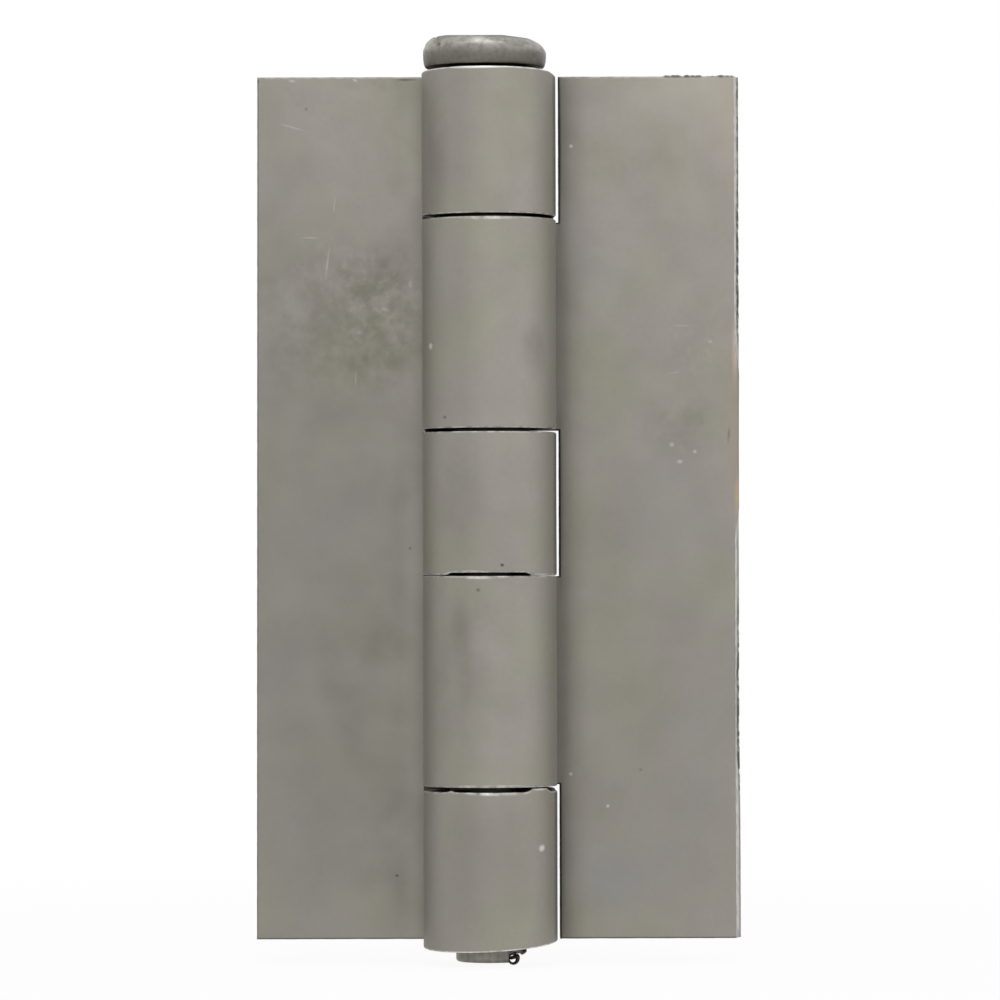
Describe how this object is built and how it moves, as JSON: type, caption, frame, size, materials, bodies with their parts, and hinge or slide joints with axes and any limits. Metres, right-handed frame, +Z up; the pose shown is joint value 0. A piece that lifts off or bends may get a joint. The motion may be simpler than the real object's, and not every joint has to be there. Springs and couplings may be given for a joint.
{
  "type": "flat butt hinge",
  "caption": "Plain steel butt hinge for welding on: flat leaves without screw holes, rolled knuckles and a headed pin, shown open flat.",
  "frame": {"origin": "centre of the frame leaf's back face, the face that is welded to the frame", "axes": "+Z up along the pin, +X to the right across the open leaves, +Y backwards out of the weld faces, so the barrel bulges towards -Y"},
  "size_m": [0.0571, 0.0157, 0.1085],
  "materials": {
    "leaf_steel": "bare rolled mild steel, dull grey with faint stains",
    "pin_steel": "bare drawn steel with an upset head and a cropped end"
  },
  "bodies": {
    "frame_side": {"frame_leaf": "leaf_steel", "hinge_pin": "pin_steel"},
    "door_side": {"door_leaf": "leaf_steel"}
  },
  "joints": [
    {"name": "leaf_swing", "type": "hinge", "parent": "frame_side", "child": "door_side", "pos_m": [0.01743, -0.00785, 0], "axis": [0, 0, -1], "range_deg": [-80, 180]}
  ]
}
